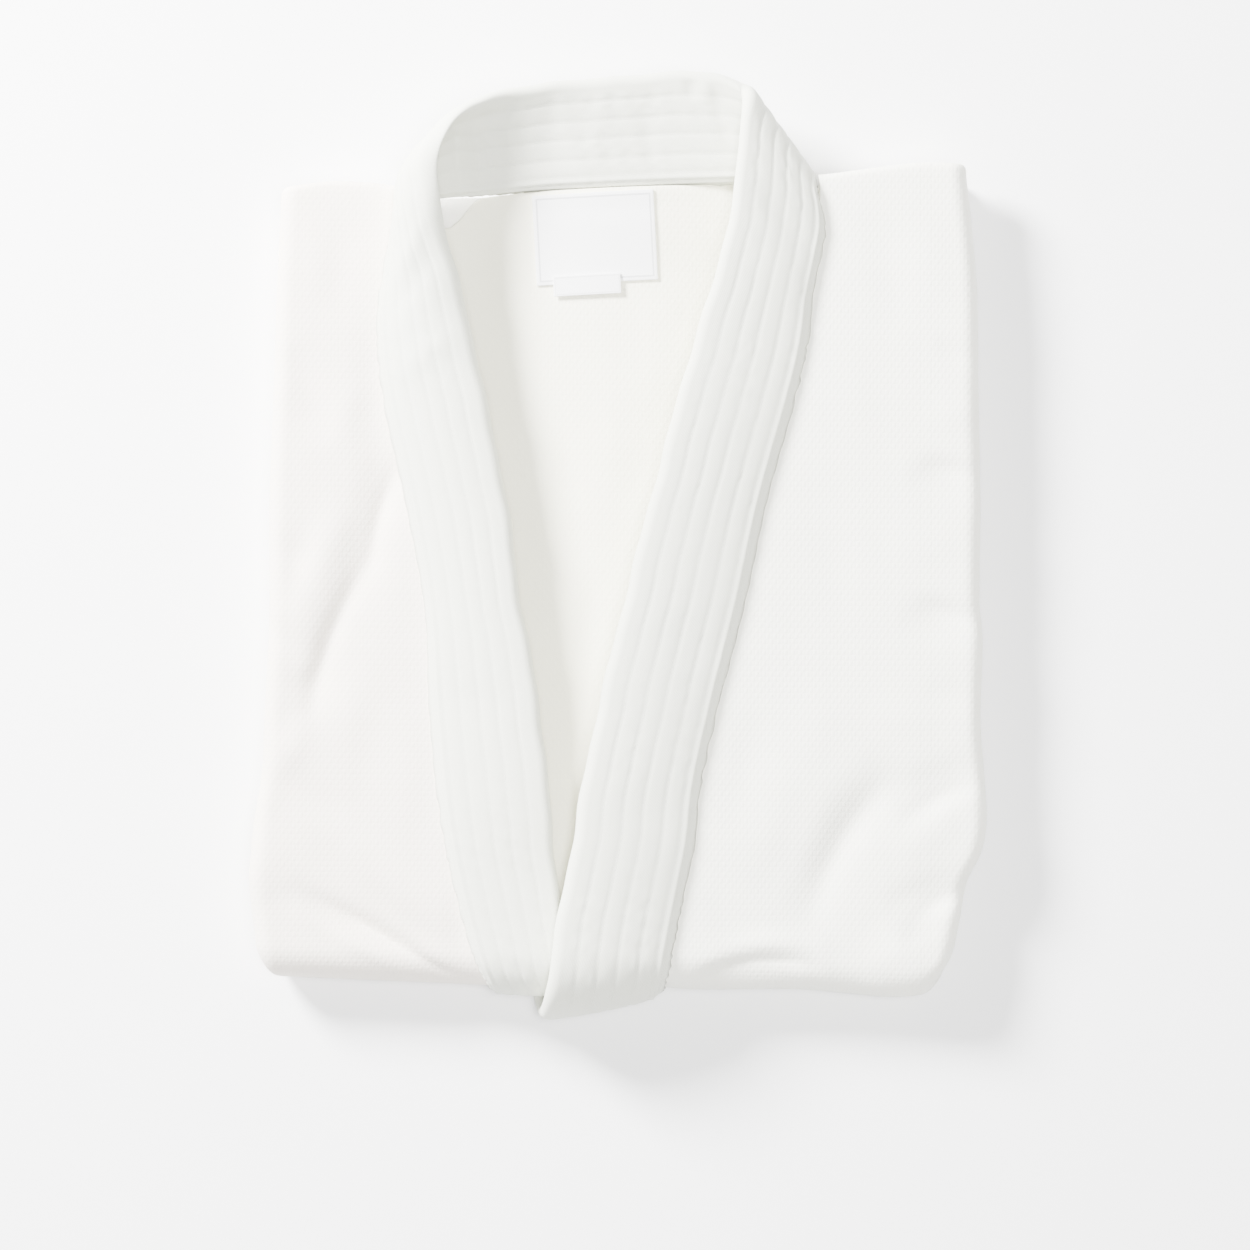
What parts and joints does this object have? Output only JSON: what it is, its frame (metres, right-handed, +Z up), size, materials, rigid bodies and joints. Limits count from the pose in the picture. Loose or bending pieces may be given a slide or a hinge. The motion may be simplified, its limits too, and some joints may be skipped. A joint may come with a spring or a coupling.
{
  "type": "folded judo jacket",
  "caption": "White quilted judo jacket folded in half and laid flat, front up, with crossed lapels, a stand-out neck band and a label inside the back.",
  "frame": {"origin": "centre of the garment's box, on the surface that it lies on", "axes": "+Y from the waist fold to the neck, +Z up from the surface, +X to the wearer's left"},
  "size_m": [0.3276, 0.4194, 0.0525],
  "materials": {
    "front_weave": "matte rice-grain cotton weave",
    "back_weave": "matte rice-grain cotton weave",
    "band_cotton": "matte stitched cotton",
    "skirt_cotton": "matte cotton",
    "layer_cotton": "matte cotton",
    "label_satin": "satin woven label",
    "tag_satin": "satin woven tag"
  },
  "bodies": {
    "root": {"front_right": "front_weave", "front_left": "front_weave", "back_panel": "back_weave", "collar_band": "band_cotton", "skirt_lower_half": "skirt_cotton", "folded_layers": "layer_cotton", "label": "label_satin", "size_tag": "tag_satin"}
  },
  "joints": []
}
